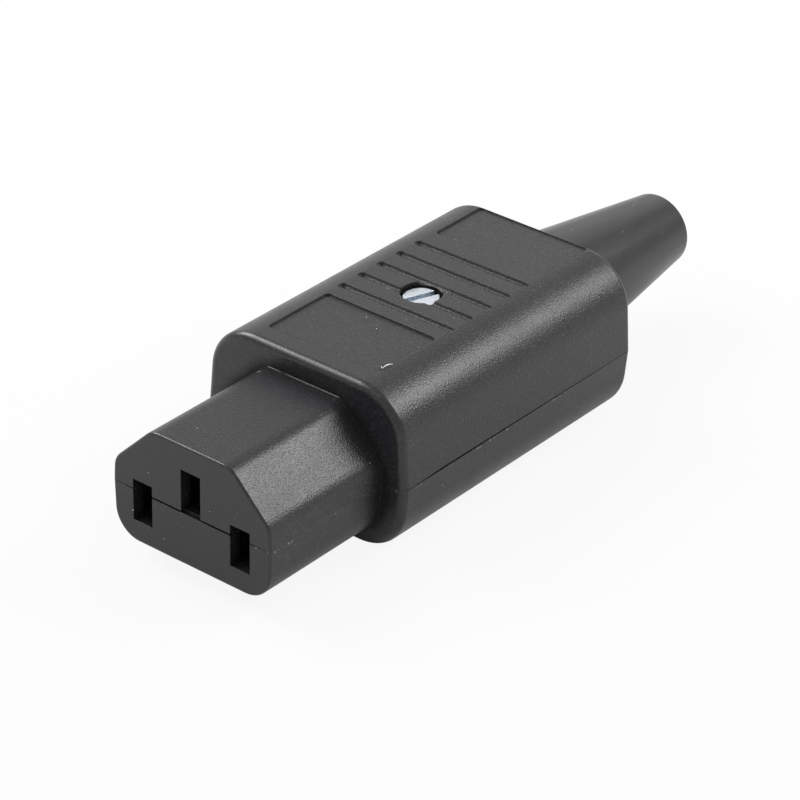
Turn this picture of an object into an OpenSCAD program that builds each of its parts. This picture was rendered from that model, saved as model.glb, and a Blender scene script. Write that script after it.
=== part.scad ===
// Rewireable C13 cord connector: two moulded shells held by one screw, three folded
// contacts with box clamps, a bridge clamp for the cord and a tapering bend sleeve.
// X runs across the connector, Y from the mating face towards the cord, Z up.
// The origin is the centre of the mating face, level with the line and neutral slots.

/* [Pin slots] */
// Distance between the centres of the line and neutral slots
pin_spacing = 14; // [13.6:0.1:14.4]
// Height of the earth slot above the other two, centre to centre
earth_rise = 4; // [3.8:0.1:4.2]
// Width of each slot
slot_w = 2.8; // [2.4:0.1:3.2]
// Height of each slot
slot_h = 5.2; // [4.8:0.1:5.4]
// Thickness of the nose's front wall, which the slots are cut through
slot_wall = 1.5; // [1.2:0.1:2.4]
// Thickness of the inlet blade that the contacts grip
blade_t = 2; // [1.8:0.1:2.2]
// Height of the inlet blade
blade_h = 4; // [3.8:0.1:4.2]

/* [Nose] */
// Length of the nose, from the mating face to the shoulder
nose_l = 18.5; // [17.5:0.5:20]
// Width of the nose at the parting line
nose_w = 22.6; // [22.4:0.1:24]
// Height of the nose's top above the slot axis
nose_top = 9.65; // [9.4:0.05:10.4]
// Depth of the nose's underside below the slot axis
nose_bottom = 5.3; // [5.1:0.1:6]
// Size of the two 45 degree chamfers
nose_chamfer = 5.5; // [4.8:0.1:5.8]
// Draft of the nose's sides in degrees, widest at the parting line
nose_draft = 2.4; // [0.5:0.1:3]
// Radius at both ends of a chamfer
nose_corner = 2.6; // [1:0.1:3]
// Radius of the two lower corners
nose_bottom_r = 3.5; // [2:0.1:4.5]
// Rounding of the mating face's rim
nose_rim = 0.3; // [0.2:0.05:0.5]
// Length of the bead round the nose's root
bead_l = 0.35; // [0.2:0.05:0.5]
// Height of the bead
bead_h = 0.15; // [0.05:0.05:0.2]

/* [Body] */
// Length of the body, from the shoulder to the rear face
body_l = 41.9; // [41:0.5:48]
// Width of the body at the parting line
body_w = 28.8; // [28.4:0.2:34]
// Height of the body's top above the slot axis
body_top = 12.6; // [12.2:0.1:14]
// Depth of the body's underside below the slot axis
body_bottom = 7.6; // [7.4:0.1:9]
// Draft of the body's sides in degrees, widest at the parting line
body_draft = 4.6; // [1:0.1:5]
// Radius of the four long corners
body_corner = 6.2; // [4.5:0.1:6.5]
// Rounding of the front and rear rims
body_rim = 0.9; // [0.4:0.1:1.4]
// Wall thickness of both shells
wall = 2.2; // [1.8:0.1:2.4]
// Thickness of the ribs inside
rib = 1; // [0.8:0.1:1.2]
// Height of the gap between the shells where it is widest
seam_h = 0.24; // [0.1:0.02:0.3]
// Height of the gap at its thin ends
seam_end_h = 0.06; // [0.04:0.01:0.1]
// Depth of the gap
seam_d = 0.5; // [0.2:0.05:0.8]
// Distance from the shoulder to the place where the side gap is widest
seam_peak_back = 6.5; // [4:0.5:12]

/* [Grip and panels] */
// Number of grip grooves across the top and the underside
groove_n = 5; // [1:1:5]
// Distance from the shoulder to the first groove
groove_start = 15.7; // [15:0.1:16.5]
// Distance from one groove to the next
groove_pitch = 3.42; // [2:0.02:3.5]
// Width of a groove
groove_w = 1.1; // [1:0.1:1.4]
// Depth of a groove
groove_d = 0.45; // [0.3:0.05:0.5]
// Length of a groove, round ends included
groove_l = 16.4; // [12:0.2:16.6]
// Width of the two sunk panels
panel_w = 15.8; // [12:0.1:16]
// Distance from the shoulder to the front panel
front_panel_back = 2.9; // [2:0.1:4]
// Length of the front panel
front_panel_l = 10.3; // [6:0.5:11]
// Distance from the rear face to the rear panel
rear_panel_ahead = 0.6; // [0.6:0.1:1.4]
// Length of the rear panel
rear_panel_l = 8.7; // [5:0.1:9]
// Depth of the panels
panel_d = 0.2; // [0.1:0.05:0.4]
// Corner radius of the panels
panel_r = 0.6; // [0.5:0.1:2]

/* [Housing screw] */
// Distance from the shoulder to the housing screw
screw_back = 20.3; // [19.8:0.1:20.8]
// Radius of the screw's shank
screw_r = 1.45; // [1.2:0.05:1.5]
// Radius of the screw's head
head_r = 2.15; // [2:0.05:2.4]
// Height of the screw's head
head_h = 1.9; // [1.5:0.1:2.4]
// Depth of the head's face below the body's top
head_sink = 0.5; // [0.4:0.1:1.2]
// Width of the driver slot
driver_w = 0.9; // [0.6:0.1:1.1]
// Direction of the driver slot, in degrees from the X axis
driver_angle = 70; // [0:5:175]
// Thickness of the lower boss above the nut
nut_cover = 2; // [1.6:0.1:2.4]
// Width of the square nut across its flats
nut_w = 5.5; // [5:0.1:5.8]
// Thickness of the square nut
nut_h = 2.4; // [1.6:0.1:2.6]

/* [Contacts] */
// Thickness of the contact strip
contact_t = 0.5; // [0.4:0.05:0.6]
// Distance from the mating face to the mouth of a contact
contact_back = 4.6; // [4:0.1:5]
// Length of the straight stretch that grips the blade
grip_l = 6; // [5:0.5:6.5]
// Length of the folded channel behind the leaves
channel_l = 2.8; // [2:0.1:3]
// Thickness of the steel spring clip
clip_t = 0.35; // [0.25:0.05:0.4]
// Length of the steel spring clip
clip_l = 3.6; // [2:0.1:4.5]
// Width of a contact's tail
tail_w = 3.2; // [2.6:0.1:3.4]

/* [Terminals] */
// Distance from the shoulder to the line and neutral box clamps
outer_terminal_back = 6; // [5:0.1:6]
// Distance from the shoulder to the earth box clamp
earth_terminal_back = 4; // [3:0.1:4.5]
// Length of a box clamp
clamp_box_l = 5.5; // [5:0.1:6]
// Side wall of a box clamp
clamp_box_wall = 0.7; // [0.5:0.1:0.8]
// Tapped top wall of a box clamp
clamp_box_top = 1.4; // [1:0.1:1.6]
// Room for the conductor above the tail
wire_room = 3; // [2.6:0.1:3.2]
// Radius of a terminal screw's shank
term_screw_r = 1.3; // [1:0.05:1.4]
// Radius of a terminal screw's head
term_head_r = 2.1; // [1.8:0.1:2.3]
// Height of a terminal screw's head
term_head_h = 1.5; // [1:0.1:1.6]
// Width of the driver slot in the terminal and clamp screws
small_driver_w = 0.7; // [0.5:0.05:0.9]

/* [Cord clamp] */
// Height of the cord's axis above the slot axis
cord_z = 2.35; // [2.1:0.05:2.7]
// Radius of the cord entry
cord_r = 3.4; // [2.6:0.1:3.5]
// Distance from the rear face to the bridge's screws
bridge_ahead = 10.4; // [10:0.1:11]
// Length of the bridge along the cord
bridge_l = 6; // [5:0.1:6.5]
// Thickness of the bridge over the cord
bridge_t = 1.8; // [1.4:0.1:2.2]
// Height of the two ridges that bite into the cord's sheath
ridge_h = 0.4; // [0.2:0.1:0.8]
// Height of the bridge's ears
ear_h = 2.5; // [2:0.1:3]
// Distance between the two clamp screws
clamp_spacing = 15.2; // [14.8:0.1:16]
// Radius of a clamp screw's shank
clamp_screw_r = 1.3; // [1:0.05:1.4]
// Radius of a clamp screw's head
clamp_head_r = 2.2; // [1.8:0.1:2.3]
// Height of a clamp screw's head
clamp_head_h = 1.6; // [1.2:0.1:2]
// Depth to which a clamp screw is driven into its boss
clamp_screw_bite = 5; // [4:0.1:6]

/* [Bend sleeve] */
// Length of the sleeve behind the body
sleeve_l = 25.5; // [15:0.5:40]
// Radius of the sleeve at the body
sleeve_r = 8; // [7:0.05:8.4]
// Radius of the sleeve at its tip
tip_r = 4.65; // [4.2:0.05:6]
// Radius of the neck that passes through the rear wall
neck_r = 5.6; // [5:0.1:6]
// Radius of the flange held inside
flange_r = 7; // [6.5:0.1:7.4]
// Thickness of the flange
flange_t = 1.8; // [1.2:0.1:2.2]

/* [Hidden] */
$fn = 64;

// Gap round a piece that is only located
slack = 0.1;
// Gap between a screw and the hole it is driven into
thread_gap = 0.05;
// Spring travel of each leaf when the blade enters
leaf_grip = 0.1;
// Depth of the driver slots, as a share of the head
slot_share = 0.5;
// Bevel round the heads and feet of the screws
screw_bevel = 0.2;
// Spare depth of a blind hole below the screw in it
hole_spare = 0.5;
// How far cutters run past the faces they open
past = 1;

// Height of the parting plane: the foot of the earth slot lies on it
part_z = earth_rise - slot_h / 2;
body_end = nose_l + body_l;
cavity_front = nose_l + wall;
cavity_back = body_end - wall;
cavity_top = body_top - wall;
cavity_floor = -body_bottom + wall;
screw_y = nose_l + screw_back;
bridge_y = body_end - bridge_ahead;

line_at = [-pin_spacing / 2, 0];
neutral_at = [pin_spacing / 2, 0];
earth_at = [0, earth_rise];

// Where the leaves of a contact run, measured from its middle plane
leaf_flare = 0.6;
channel_spread = 0.5;
leaf_margin = 0.25;
leaf_bend_l = 1.6;
clip_drop = 0.5;
leaf_grip_x = blade_t / 2 - leaf_grip + contact_t / 2;
leaf_mouth_x = leaf_grip_x + leaf_flare;
leaf_rear_x = leaf_grip_x + channel_spread;
leaf_h = blade_h + 2 * leaf_margin;
grip_start = contact_back + leaf_bend_l;
channel_start = grip_start + grip_l + leaf_bend_l;
channel_end = channel_start + channel_l;
web_drop = leaf_h / 2 + contact_t;

// Housing screw, its bosses and its nut
boss_wall = 1.4;
head_play = 0.35;
screw_past_nut = 1.2;
boss_r = head_r + head_play + boss_wall;
lower_boss_r = nut_w / 2 * sqrt(2) + boss_wall / 2;
counterbore_z = body_top - head_sink - head_h;
nut_top = part_z - nut_cover;
screw_foot = nut_top - nut_h - screw_past_nut;

// Box clamps, measured from the contact's axis
tail_play = 0.3;
tail_past = 0.4;
head_gap = 0.5;
clamp_box_w = tail_w + 2 * tail_play + 2 * clamp_box_wall;
clamp_box_foot = -web_drop - clamp_box_wall;
clamp_box_head = -web_drop + contact_t + wire_room + clamp_box_top;
term_head_z = clamp_box_head + head_gap;
outer_terminal_y = nose_l + outer_terminal_back;
earth_terminal_y = nose_l + earth_terminal_back;
outer_tail_end = outer_terminal_y + clamp_box_l + tail_past;
earth_tail_end = earth_terminal_y + clamp_box_l + tail_past;
partition_x = pin_spacing / 4;
partition_end = screw_y - boss_r;

// Cord clamp and sleeve seats
clamp_boss_wall = 1.1;
cord_room = 0.8;
tip_round = 0.5;
clamp_boss_r = clamp_screw_r + clamp_boss_wall;
clamp_screw_foot = part_z - clamp_screw_bite;
ridge_w = bridge_l / 4;
flange_front = cavity_back - flange_t;

// Tongues along the lower shell's side walls
tongue_h = 1;
tongue_t = 0.9;

// Heights of the housing's forms above and below the parting plane
body_rise = body_top - part_z;
body_fall = body_bottom + part_z;
nose_rise = nose_top - part_z;
nose_fall = nose_bottom + part_z;

// Half width of a drafted form at a height measured from the parting plane
function drafted(width, height, draft) = width / 2 - height * tan(draft);
// Centre of the arc of radius r at corner p, between flats that face the directions a and b
function arc_centre(p, a, b, r) =
    p - ([cos(a), sin(a)] + [cos(b), sin(b)]) * r / (1 + cos(a - b));

// A form's half outline: [draft, radius, centre of its first arc, step to its second arc]
function plain_half(width, height, draft, r) =
    [draft, r, arc_centre([drafted(width, height, draft), height], draft, 90, r), [0, 0]];
function chamfered_half(width, height, draft, r, chamfer) =
    let (
        foot = [drafted(width, height - chamfer, draft), height - chamfer],
        first = arc_centre(foot, draft, 45, r),
        second = arc_centre(foot + [-chamfer, chamfer], 45, 90, r)
    )
    [draft, r, first, [second.x - first.x, first.x - second.x]];

body_upper = plain_half(body_w, body_rise, body_draft, body_corner);
body_lower = plain_half(body_w, body_fall, body_draft, body_corner);
nose_upper = chamfered_half(nose_w, nose_rise, nose_draft, nose_corner, nose_chamfer);
nose_lower = plain_half(nose_w, nose_fall, nose_draft, nose_bottom_r);

// ---- Drafted forms with round corners ----

// Box given by its corner of least X, Y and Z and its opposite corner
module block(from, to) {
    translate(from) cube(to - from);
}

// Extrudes a shape drawn in X and Z along Y
module along_y(from, to) {
    translate([0, to, 0]) rotate([90, 0, 0]) linear_extrude(to - from) children();
}

// Turns a profile drawn in radius and Y about a line along Y
module round_y(at) {
    translate([at.x, 0, at.y]) rotate([-90, 0, 0]) rotate_extrude() children();
}

// Places what is drawn up from z = 0 on the parting plane, upright or hanging
module on_parting(up) {
    translate([0, 0, part_z]) mirror([0, 0, up ? 0 : 1]) children();
}

// Both halves of an outline, up from the parting plane and a little past it, inset by depth.
// Each flat is drawn in a frame turned about its own arc's centre, so that the two are tangent
module outline(half, depth) {
    draft = half[0];
    r = half[1] - depth;
    first = half[2];
    step = half[3];
    last = first + step;
    low = first.y + 2 * wall;
    for (side = [0, 1])
        mirror([side, 0]) {
            polygon([
                [0, first.y - low], [first.x + r / 2, first.y - low], [first.x + r / 2, first.y],
                [last.x, last.y + r / 2], [0, last.y + r / 2]
            ]);
            translate(first) {
                circle(r = r);
                rotate(draft) translate([0, -low]) square([r, low]);
                if (step.y > 0) rotate(45) square([r, step.y]);
                translate(step) {
                    circle(r = r);
                    if (step.y > 0) rotate(45) translate([0, -step.y]) square([r, step.y]);
                    translate([-last.x, 0]) square([last.x, r]);
                }
            }
        }
}

// Frame whose X axis points in a direction of the XZ plane
module facing(direction) {
    rotate([0, -direction, 0]) children();
}

// What a rounded rim takes off an edge: X points outward from the side, Y into the block
module rim_waste(r, rim) {
    translate([r, 0])
        difference() {
            translate([-rim, -past]) square([rim + past, rim + past]);
            translate([-rim, rim]) circle(r = rim);
        }
}

// Rim waste along the flat that faces a direction, between two distances along it
module flat_waste(direction, r, rim, from, to) {
    facing(direction) translate([0, 0, from]) linear_extrude(to - from) rim_waste(r, rim);
}

// Rim waste round an arc, between the flats that face the directions a and b
module arc_waste(a, b, r, rim) {
    reach = r + 2 * past;
    depth = 2 * past + 2 * rim;
    intersection() {
        round_y([0, 0]) rim_waste(r, rim);
        facing(a) translate([0, -2 * past, 0]) cube([reach, depth, reach]);
        facing(b) translate([0, -2 * past, -reach]) cube([reach, depth, reach]);
    }
}

// Rim waste all round an outline, at the end of the form that faces -Y
module outline_waste(half, rim) {
    draft = half[0];
    r = half[1];
    first = half[2];
    step = half[3];
    last = first + step;
    chamfered = step.y > 0;
    for (side = [0, 1])
        mirror([side, 0, 0])
            translate([first.x, 0, first.y]) {
                flat_waste(draft, r, rim, -first.y - 2 * wall, 0);
                arc_waste(draft, chamfered ? 45 : 90, r, rim);
                if (chamfered) flat_waste(45, r, rim, 0, step.y);
                translate([step.x, 0, step.y]) {
                    if (chamfered) flat_waste(45, r, rim, -step.y, 0);
                    if (chamfered) arc_waste(45, 90, r, rim);
                    flat_waste(90, r, rim, 0, last.x);
                }
            }
}

// Form along Y with round corners and a rounded rim at its front end, or at both ends
module form(half, from, to, rim, both_ends) {
    difference() {
        along_y(from, to) outline(half, 0);
        translate([0, from, 0]) outline_waste(half, rim);
        if (both_ends) translate([0, to, 0]) mirror([0, 1, 0]) outline_waste(half, rim);
    }
}

// Open strip of sheet that follows a path, folded sharply
function unit(v) = v / norm(v);
function outward(v) = [v.y, -v.x];
function fold_normal(path, i) =
    i == 0 ? outward(unit(path[1] - path[0]))
    : i == len(path) - 1 ? outward(unit(path[i] - path[i - 1]))
    : let (a = outward(unit(path[i] - path[i - 1])), b = outward(unit(path[i + 1] - path[i])))
        (a + b) / (1 + a * b);
module folded_strip(path, thickness) {
    last = len(path) - 1;
    polygon([
        for (i = [0 : last]) path[i] + fold_normal(path, i) * thickness / 2,
        for (i = [0 : last]) path[last - i] - fold_normal(path, last - i) * thickness / 2
    ]);
}

// Machine screw along Z: shank from foot to head_at, slotted head above it
module slotted_screw(shank, head, height, foot, head_at, slot_width, angle) {
    slot_depth = height * slot_share;
    difference() {
        union() {
            translate([0, 0, foot]) cylinder(r1 = shank - screw_bevel, r2 = shank, h = screw_bevel);
            translate([0, 0, foot + screw_bevel]) cylinder(r = shank, h = head_at - foot - screw_bevel);
            translate([0, 0, head_at]) cylinder(r = head, h = height - screw_bevel);
            translate([0, 0, head_at + height - screw_bevel])
                cylinder(r1 = head, r2 = head - screw_bevel, h = screw_bevel);
        }
        translate([0, 0, head_at + height - slot_depth])
            rotate(angle)
                translate([-head - past, -slot_width / 2, 0])
                    cube([2 * (head + past), slot_width, slot_depth + past]);
    }
}

// ---- Shells ----

// Half of the housing, solid: a stretch of nose and the body, cut off at the parting plane
module housing_half(nose, body, up) {
    intersection() {
        on_parting(up) {
            form(nose, 0, nose_l + wall / 2, nose_rim, false);
            along_y(nose_l - bead_l, nose_l + wall / 2) outline(nose, -bead_h);
            form(body, nose_l, body_end, body_rim, true);
        }
        on_parting(up) block([-body_w, -past, 0], [body_w, body_end + past, body_top + body_bottom]);
    }
}

module cavity(body, up) {
    on_parting(up) along_y(cavity_front, cavity_back) outline(body, wall);
}

// Gap along the foot of the upper shell's sides, widest a little behind the shoulder
module side_gap() {
    front = nose_l + seam_d;
    rear = body_end - body_rim;
    difference() {
        rotate([90, 0, 90])
            linear_extrude(2 * body_w, center = true)
                polygon([
                    [front, part_z - past], [rear, part_z - past], [rear, part_z + seam_end_h],
                    [nose_l + seam_peak_back, part_z + seam_h], [front, part_z + seam_end_h]
                ]);
        on_parting(1) along_y(nose_l, body_end) outline(body_upper, seam_d);
    }
}

// Gap along the top of the lower shell's front wall, widest between the line and neutral slots
module face_gap() {
    inner = pin_spacing / 2 - slot_w / 2;
    outer = nose_w / 2 - 2 * nose_rim;
    along_y(-past, seam_d)
        polygon([
            [-outer, part_z + past], [-outer, part_z - seam_end_h], [-inner, part_z - seam_h],
            [inner, part_z - seam_h], [outer, part_z - seam_end_h], [outer, part_z + past]
        ]);
}

// Slot for one inlet pin and the chamber of its contact behind it
module contact_chamber(at) {
    front_half = leaf_mouth_x + contact_t / 2 + 3 * slack;
    rear_half = leaf_rear_x + contact_t / 2 + slack / 2;
    floor_z = -web_drop;
    top_z = leaf_h / 2 + 2 * slack;
    translate([at.x, 0, at.y]) {
        block([-slot_w / 2, -past, -slot_h / 2], [slot_w / 2, slot_wall + past, slot_h / 2]);
        block([-front_half, slot_wall, floor_z], [front_half, channel_start, top_z]);
        block([-rear_half, channel_start - past, floor_z], [rear_half, cavity_front + past, top_z]);
    }
}

module chambers() {
    for (at = [line_at, neutral_at, earth_at]) contact_chamber(at);
}

// Half-round grip grooves with round ends, sunk into the plane z = 0
module grip_grooves() {
    half = groove_l / 2 - groove_w / 2;
    for (i = [0 : groove_n - 1])
        translate([0, nose_l + groove_start + i * groove_pitch, groove_w / 2 - groove_d])
            rotate([0, 90, 0])
                rotate_extrude()
                    intersection() {
                        union() {
                            square([groove_w, 2 * half], center = true);
                            for (y = [-half, half]) translate([0, y]) circle(d = groove_w);
                        }
                        translate([0, -groove_l]) square([groove_w, 2 * groove_l]);
                    }
}

// Sunk panel with round corners, from the plane z = 0 downwards
module sunk_panel(from, length) {
    translate([0, from + length / 2, -panel_d])
        linear_extrude(panel_d + past) {
            square([panel_w - 2 * panel_r, length], center = true);
            square([panel_w, length - 2 * panel_r], center = true);
            for (x = [-1, 1] * (panel_w / 2 - panel_r), y = [-1, 1] * (length / 2 - panel_r))
                translate([x, y]) circle(r = panel_r);
        }
}

// Round hole along the cord's axis
module cord_hole(r, from, to) {
    translate([0, 0, cord_z]) along_y(from, to) circle(r = r);
}

// Ribs between the terminals, from the front wall to the housing screw's boss
module partitions(from_z, to_z) {
    for (x = [-1, 1] * partition_x)
        block([x - rib / 2, cavity_front - past, from_z], [x + rib / 2, partition_end, to_z]);
}

// Rib across the cavity that holds the sleeve's flange against the rear wall
module sleeve_rib(from_z, to_z) {
    front = flange_front - slack - rib;
    difference() {
        block([-body_w, front, from_z], [body_w, front + rib, to_z]);
        cord_hole(cord_r + cord_room, front - past, front + rib + past);
    }
}

// Tongues on the lower shell's side walls; grown, they cut the grooves of the upper shell
module tongues(grown) {
    inner = body_w / 2 - wall;
    foot = grown > 0 ? past : 0;
    for (side = [0, 1])
        mirror([side, 0, 0])
            block(
                [inner - grown, cavity_front + rib - grown, part_z - foot],
                [inner + tongue_t + grown, cavity_back - rib + grown, part_z + tongue_h + grown]
            );
}

module upper_shell() {
    color("#2b2b2d")
        difference() {
            housing_half(nose_upper, body_upper, 1);
            difference() {
                cavity(body_upper, 1);
                translate([0, screw_y, 0]) cylinder(r = boss_r, h = body_top);
                partitions(part_z - past, body_top);
                sleeve_rib(part_z - past, body_top);
            }
            chambers();
            cord_hole(neck_r + slack, cavity_back - past, body_end + past);
            translate([0, screw_y, part_z - past]) cylinder(r = screw_r + 2 * slack, h = body_top);
            translate([0, screw_y, counterbore_z]) cylinder(r = head_r + head_play, h = body_top);
            tongues(slack);
            side_gap();
            translate([0, 0, body_top]) {
                grip_grooves();
                sunk_panel(nose_l + front_panel_back, front_panel_l);
                sunk_panel(body_end - rear_panel_ahead - rear_panel_l, rear_panel_l);
            }
        }
}

// Pad under a box clamp, with a low stop at each end of the clamp
module terminal_pad(at, y) {
    half = clamp_box_w / 2;
    foot = at.y + clamp_box_foot;
    front = y - slack - rib;
    rear = y + clamp_box_l + slack + rib;
    block([at.x - half, front, cavity_floor - past], [at.x + half, rear, foot]);
    for (from = [front, rear - rib])
        block(
            [at.x - half, from, cavity_floor - past],
            [at.x + half, from + rib, foot + clamp_box_wall - slack]
        );
}

// Bosses for the bridge's screws and the saddle that the cord lies in
module clamp_seat() {
    difference() {
        for (side = [-1, 1]) {
            translate([side * clamp_spacing / 2, bridge_y, cavity_floor - past])
                cylinder(r = clamp_boss_r, h = part_z - cavity_floor + past);
            translate([0, bridge_y + side * (bridge_l / 2 - rib), 0])
                block(
                    [-clamp_spacing / 2, -rib / 2, cavity_floor - past],
                    [clamp_spacing / 2, rib / 2, part_z]
                );
        }
        cord_hole(cord_r, bridge_y - bridge_l, bridge_y + bridge_l);
        for (x = [-1, 1] * clamp_spacing / 2)
            translate([x, bridge_y, clamp_screw_foot - hole_spare])
                cylinder(r = clamp_screw_r + thread_gap, h = clamp_screw_bite + hole_spare + past);
    }
}

// Pocket in the lower boss that the square nut is slid into from the rear
module nut_pocket() {
    half = nut_w / 2 + slack;
    block(
        [-half, screw_y - half, nut_top - nut_h - slack],
        [half, screw_y + lower_boss_r + past, nut_top]
    );
}

module lower_shell() {
    color("#2b2b2d") {
        difference() {
            housing_half(nose_lower, body_lower, 0);
            difference() {
                cavity(body_lower, 0);
                translate([0, screw_y, -body_bottom]) cylinder(r = lower_boss_r, h = body_fall);
                partitions(-body_bottom + past, part_z);
                sleeve_rib(-body_bottom + past, part_z);
                terminal_pad(line_at, outer_terminal_y);
                terminal_pad(neutral_at, outer_terminal_y);
                terminal_pad(earth_at, earth_terminal_y);
                clamp_seat();
            }
            chambers();
            cord_hole(neck_r + slack, cavity_back - past, body_end + past);
            translate([0, screw_y, screw_foot - hole_spare])
                cylinder(r = screw_r + 2 * slack, h = part_z - screw_foot + hole_spare + past);
            nut_pocket();
            face_gap();
            translate([0, 0, -body_bottom]) mirror([0, 0, 1]) grip_grooves();
        }
        tongues(0);
    }
}

module bend_sleeve() {
    tip = body_end + sleeve_l;
    color("#262628")
        round_y([0, cord_z]) {
            polygon([
                [cord_r, flange_front], [flange_r, flange_front], [flange_r, cavity_back],
                [neck_r, cavity_back], [neck_r, body_end], [sleeve_r, body_end],
                [tip_r, tip - tip_round], [tip_r - tip_round, tip], [cord_r, tip]
            ]);
            translate([tip_r - tip_round, tip - tip_round]) circle(r = tip_round);
        }
}

module housing_screw() {
    color("silver")
        translate([0, screw_y, 0])
            slotted_screw(
                screw_r, head_r, head_h, screw_foot, counterbore_z, driver_w, driver_angle
            );
}

module housing_nut() {
    color("silver")
        translate([0, screw_y, nut_top - nut_h])
            difference() {
                translate([-nut_w / 2, -nut_w / 2, 0]) cube([nut_w, nut_w, nut_h]);
                translate([0, 0, -past]) cylinder(r = screw_r + thread_gap, h = nut_h + 2 * past);
            }
}

// ---- Contacts and terminals ----

// Folded strip contact: two sprung leaves, a channel and a flat tail that ends at tail_end
module contact(at, tail_end) {
    leaf = [
        [leaf_mouth_x, contact_back], [leaf_grip_x, grip_start], [leaf_grip_x, grip_start + grip_l],
        [leaf_rear_x, channel_start], [leaf_rear_x, channel_end]
    ];
    web_half = leaf_rear_x + contact_t / 2;
    color("#c9a24a")
        translate([at.x, 0, at.y]) {
            for (side = [0, 1])
                mirror([side, 0, 0]) {
                    translate([0, 0, -leaf_h / 2]) linear_extrude(leaf_h) folded_strip(leaf, contact_t);
                    block([web_half - contact_t, channel_start, -web_drop], [web_half, channel_end, 0]);
                }
            block([-web_half, channel_start, -web_drop], [web_half, channel_end, -leaf_h / 2]);
            block([-tail_w / 2, channel_start, -web_drop], [tail_w / 2, tail_end, -leaf_h / 2]);
        }
}

// Steel clip that wraps the leaves from below and presses them together
module contact_spring(at) {
    x = leaf_grip_x + contact_t / 2 + clip_t / 2;
    z = -leaf_h / 2 - clip_t / 2;
    top = leaf_h / 2 - clip_drop;
    middle = grip_start + grip_l / 2;
    color("#b9bcc0")
        translate([at.x, 0, at.y])
            along_y(middle - clip_l / 2, middle + clip_l / 2)
                folded_strip([[-x, top], [-x, z], [x, z], [x, top]], clip_t);
}

// Box clamp: a square tube round the tail with a tapped hole in its thick top wall
module terminal(at, y) {
    half = clamp_box_w / 2;
    inner = half - clamp_box_wall;
    roof = clamp_box_head - clamp_box_top;
    color("#c7a55a")
        translate([at.x, y, at.y])
            difference() {
                block([-half, 0, clamp_box_foot], [half, clamp_box_l, clamp_box_head]);
                block([-inner, -past, -web_drop], [inner, clamp_box_l + past, roof]);
                translate([0, clamp_box_l / 2, 0])
                    cylinder(r = term_screw_r + thread_gap, h = clamp_box_head + past);
            }
}

module terminal_screw(at, y) {
    color("silver")
        translate([at.x, y + clamp_box_l / 2, at.y])
            slotted_screw(
                term_screw_r, term_head_r, term_head_h, -leaf_h / 2, term_head_z,
                small_driver_w, 90
            );
}

// ---- Cord clamp ----

// Bridge over the cord with an ear on each side
module cord_clamp() {
    reach = clamp_spacing / 2 + clamp_head_r;
    color("#3a3a3c")
        difference() {
            along_y(bridge_y - bridge_l / 2, bridge_y + bridge_l / 2) {
                translate([-reach, part_z]) square([2 * reach, ear_h]);
                intersection() {
                    translate([0, cord_z]) circle(r = cord_r + bridge_t);
                    translate([-body_w, part_z]) square([2 * body_w, body_top]);
                }
            }
            cord_hole(cord_r, bridge_y - bridge_l, bridge_y + bridge_l);
            for (i = [-1 : 1]) {
                middle = bridge_y + i * bridge_l / 2;
                cord_hole(cord_r + ridge_h, middle - ridge_w / 2, middle + ridge_w / 2);
            }
            for (x = [-1, 1] * clamp_spacing / 2)
                translate([x, bridge_y, part_z - past])
                    cylinder(r = clamp_screw_r + 2 * slack, h = ear_h + 2 * past);
        }
}

module clamp_screw(x) {
    color("silver")
        translate([x, bridge_y, 0])
            slotted_screw(
                clamp_screw_r, clamp_head_r, clamp_head_h, clamp_screw_foot, part_z + ear_h,
                small_driver_w, 0
            );
}

upper_shell();
lower_shell();
bend_sleeve();
housing_screw();
housing_nut();
contact(line_at, outer_tail_end);  // line_contact
contact(neutral_at, outer_tail_end);  // neutral_contact
contact(earth_at, earth_tail_end);  // earth_contact
contact_spring(line_at);  // line_contact_spring
contact_spring(neutral_at);  // neutral_contact_spring
contact_spring(earth_at);  // earth_contact_spring
terminal(line_at, outer_terminal_y);  // line_terminal
terminal(neutral_at, outer_terminal_y);  // neutral_terminal
terminal(earth_at, earth_terminal_y);  // earth_terminal
terminal_screw(line_at, outer_terminal_y);  // line_terminal_screw
terminal_screw(neutral_at, outer_terminal_y);  // neutral_terminal_screw
terminal_screw(earth_at, earth_terminal_y);  // earth_terminal_screw
cord_clamp();
clamp_screw(-clamp_spacing / 2);  // left_clamp_screw
clamp_screw(clamp_spacing / 2);  // right_clamp_screw
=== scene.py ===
import math
import bmesh
import bpy
from mathutils import Matrix, Vector


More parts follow.
